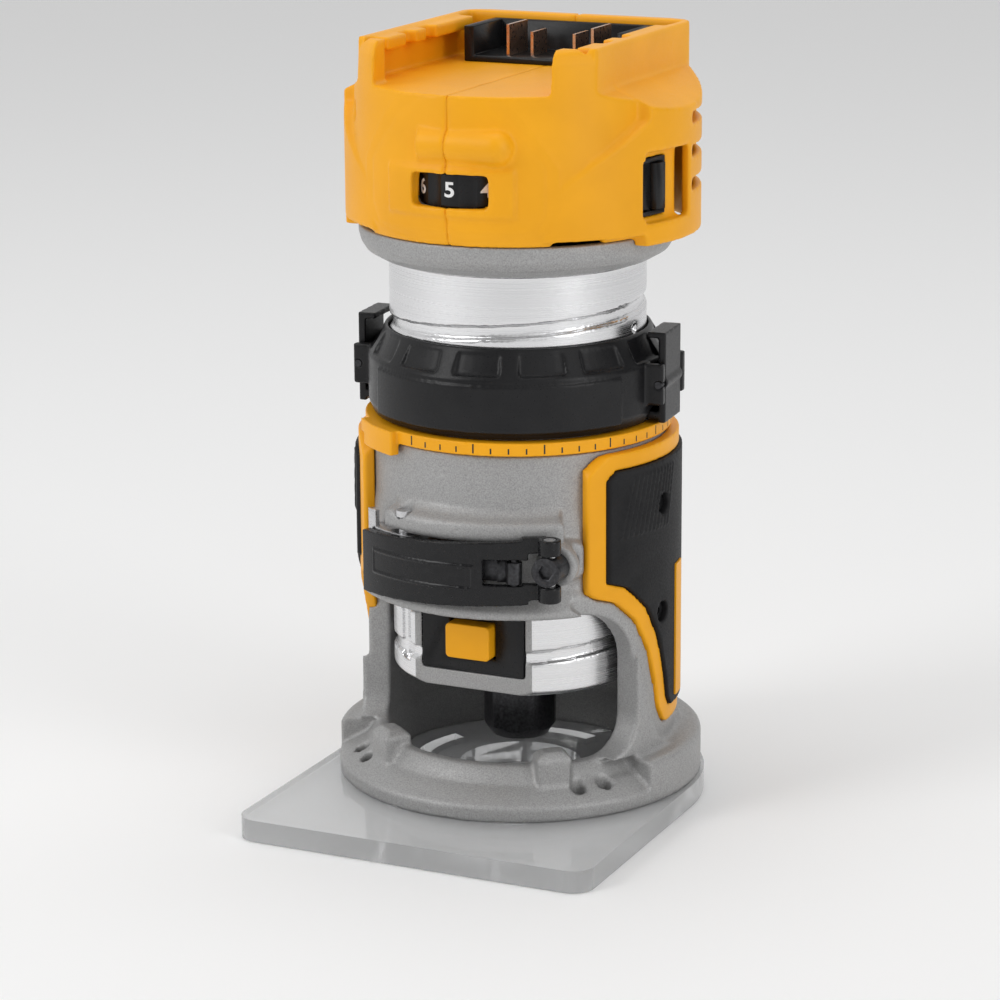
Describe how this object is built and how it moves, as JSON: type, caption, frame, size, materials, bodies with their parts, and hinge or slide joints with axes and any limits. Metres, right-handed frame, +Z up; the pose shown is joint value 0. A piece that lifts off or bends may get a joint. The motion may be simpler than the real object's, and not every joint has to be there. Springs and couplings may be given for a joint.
{
  "type": "trim router",
  "caption": "Cordless router: clear foot, cast base with lever clamp, turning depth ring, aluminium motor can with spindle lock, and a head with speed dial, rocker switch and open battery bay.",
  "frame": {"origin": "on the spindle axis, at the underside of the clear sub-base", "axes": "+Z up along the spindle, -Y to the front where the lever and dial are, +X towards the power switch"},
  "size_m": [0.102, 0.123, 0.2088],
  "materials": {
    "machined_aluminium": "machined",
    "cast_aluminium": "cast and blasted",
    "yellow_plastic": "satin",
    "black_plastic": "satin",
    "grey_plastic": "satin",
    "dial_grey": "satin",
    "clear_plastic": "clear",
    "black_rubber": "matt",
    "black_steel": "blackened",
    "steel": "brushed",
    "copper": "plain",
    "circuit_board": "lacquered"
  },
  "bodies": {
    "base": {"base_casting": "cast_aluminium", "sub_base": "clear_plastic", "sub_base_screws": "steel", "guide_key": "steel", "clamp_shoe": "copper", "grip_frame_left": "yellow_plastic", "grip_frame_right": "yellow_plastic", "grip_pad_left": "black_rubber", "grip_pad_right": "black_rubber", "grip_inlay_left": "yellow_plastic", "grip_inlay_right": "yellow_plastic", "grip_screws": "black_steel", "lever_pivot_pin": "steel", "adjusting_bolt": "black_steel", "anchor_bracket": "steel", "anchor_pin": "steel"},
    "motor": {"motor_can": "machined_aluminium", "lock_panel": "black_plastic", "stator_core": "steel", "stator_windings": "copper", "lower_bearing": "steel", "upper_bearing": "steel", "bearing_bracket": "machined_aluminium", "controller_case": "black_plastic", "controller_board": "circuit_board", "speed_pot": "black_plastic", "switch_body": "black_plastic", "housing_left": "yellow_plastic", "housing_right": "yellow_plastic", "housing_screws": "black_steel", "terminal_block": "black_plastic", "terminal_blades": "copper"},
    "spindle": {"spindle": "steel", "rotor": "steel", "fan": "black_plastic", "collet": "steel", "collet_nut": "black_steel"},
    "lock": {"lock_button": "yellow_plastic", "lock_plunger": "steel"},
    "dial": {"speed_dial": "black_plastic"},
    "rocker": {"power_rocker": "black_plastic"},
    "depth_ring": {"depth_ring": "black_plastic", "tab_pins": "steel"},
    "tab_right": {"release_tab_right": "black_plastic"},
    "tab_left": {"release_tab_left": "black_plastic"},
    "scale_ring": {"scale_ring": "yellow_plastic"},
    "lever": {"clamp_lever": "black_steel", "link_pin": "steel"},
    "strap": {"link_strap": "steel"}
  },
  "joints": [
    {"name": "motor_slide", "type": "slide", "parent": "base", "child": "motor", "axis": [0, 0, 1], "range_m": [-0.013, 0.024]},
    {"name": "depth_ring_turn", "type": "hinge", "parent": "base", "child": "depth_ring", "pos_m": [0, 0, 0.119], "axis": [0, 0, 1], "range_deg": [-681.31, 369.5]},
    {"name": "spindle_spin", "type": "hinge", "parent": "motor", "child": "spindle", "pos_m": [0, 0, 0.09], "axis": [0, 0, 1], "continuous": true},
    {"name": "lock_press", "type": "slide", "parent": "motor", "child": "lock", "axis": [0, 1, 0], "range_m": [0, 0.0035], "stiffness_N_per_m": 300, "springref_m": -0.004},
    {"name": "speed_dial_turn", "type": "hinge", "parent": "motor", "child": "dial", "pos_m": [0.0007, -0.0289, 0.1733], "axis": [0, 0, 1], "range_deg": [-160, 80]},
    {"name": "power_rock", "type": "hinge", "parent": "motor", "child": "rocker", "pos_m": [0.04081, -0.00905, 0.1718], "axis": [0, 0, 1], "range_deg": [0, 14]},
    {"name": "tab_right_press", "type": "hinge", "parent": "depth_ring", "child": "tab_right", "pos_m": [0.04244, 0.00371, 0.1185], "axis": [0.0872, -0.9962, 0], "range_deg": [0, 8], "stiffness_Nm_per_rad": 0.06, "springref_deg": -17.19},
    {"name": "tab_left_press", "type": "hinge", "parent": "depth_ring", "child": "tab_left", "pos_m": [-0.04244, -0.00371, 0.1185], "axis": [-0.0872, 0.9962, 0], "range_deg": [0, 8], "stiffness_Nm_per_rad": 0.06, "springref_deg": -17.19},
    {"name": "scale_ring_turn", "type": "hinge", "parent": "base", "child": "scale_ring", "pos_m": [0, 0, 0.1055], "axis": [0, 0, 1], "range_deg": [-1, 70]},
    {"name": "lever_swing", "type": "hinge", "parent": "base", "child": "lever", "pos_m": [0.0275, -0.041, 0.0753], "axis": [0, 0, 1], "range_deg": [0, 100]},
    {"name": "strap_swing", "type": "hinge", "parent": "lever", "child": "strap", "pos_m": [0.01821, -0.0429, 0.0741], "axis": [0, 0, 1], "range_deg": [-101, 1]}
  ],
  "couplings": [
    {"joint": "depth_ring_turn", "follows": "motor_slide", "rad_per_m": -494.74},
    {"joint": "strap_swing", "follows": "lever_swing", "ratio": -1}
  ]
}
